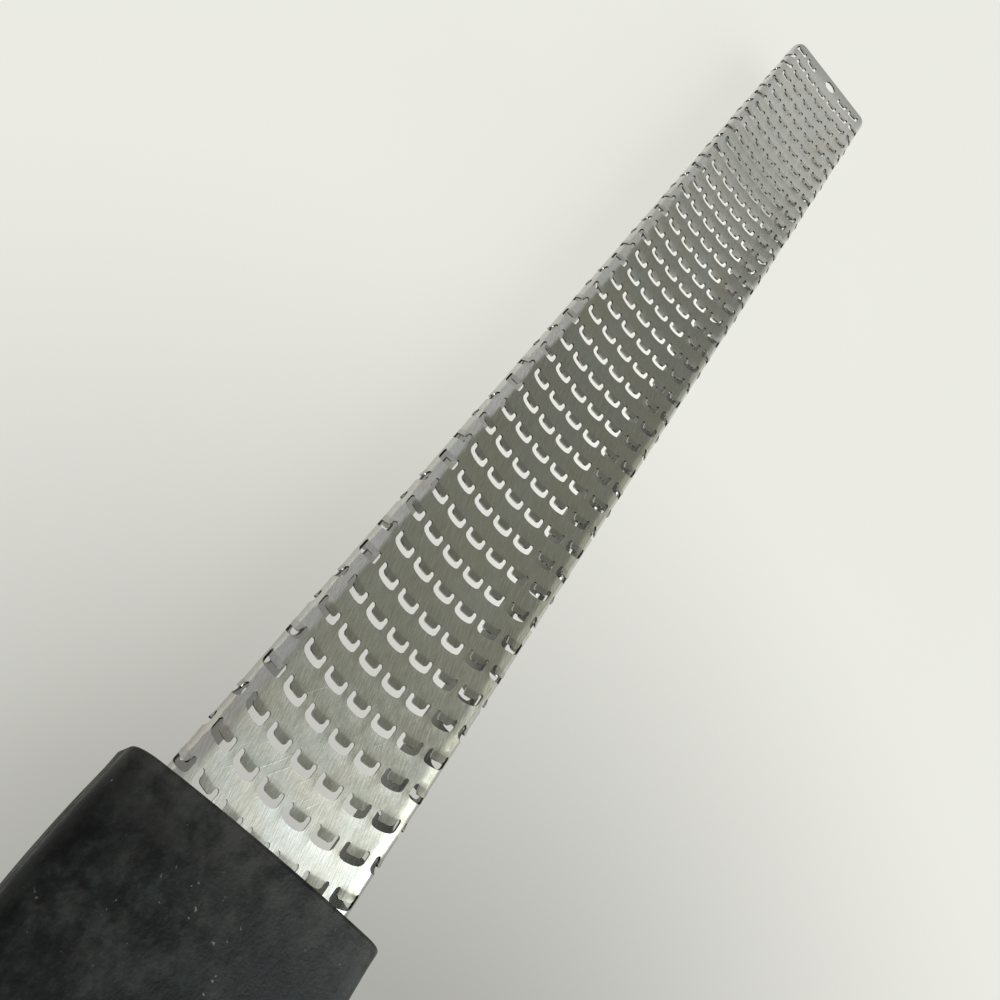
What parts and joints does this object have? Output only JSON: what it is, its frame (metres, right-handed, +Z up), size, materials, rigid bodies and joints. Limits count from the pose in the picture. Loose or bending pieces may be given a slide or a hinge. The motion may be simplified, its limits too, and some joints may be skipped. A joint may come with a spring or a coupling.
{
  "type": "rasp zester",
  "caption": "Hand-held rasp zester: an etched stainless channel blade with raised teeth in a moulded black handle with a hang hole.",
  "frame": {"origin": "middle of the whole object's length and width, at the flat on the handle's belly", "axes": "+X along the blade from the handle to the tip, +Y to the left, +Z up, the way the teeth point"},
  "size_m": [0.3232, 0.034, 0.0186],
  "materials": {
    "blade_steel": "etched stainless sheet, satin, with a fine grain along its length",
    "handle_black": "matte moulded black, finely textured",
    "insert_black": "matte moulded black",
    "pin_steel": "plain ground steel"
  },
  "bodies": {
    "root": {"rasp_blade": "blade_steel", "handle_upper_shell": "handle_black", "handle_lower_shell": "handle_black", "tang_insert": "insert_black", "tang_pins": "pin_steel"}
  },
  "joints": []
}
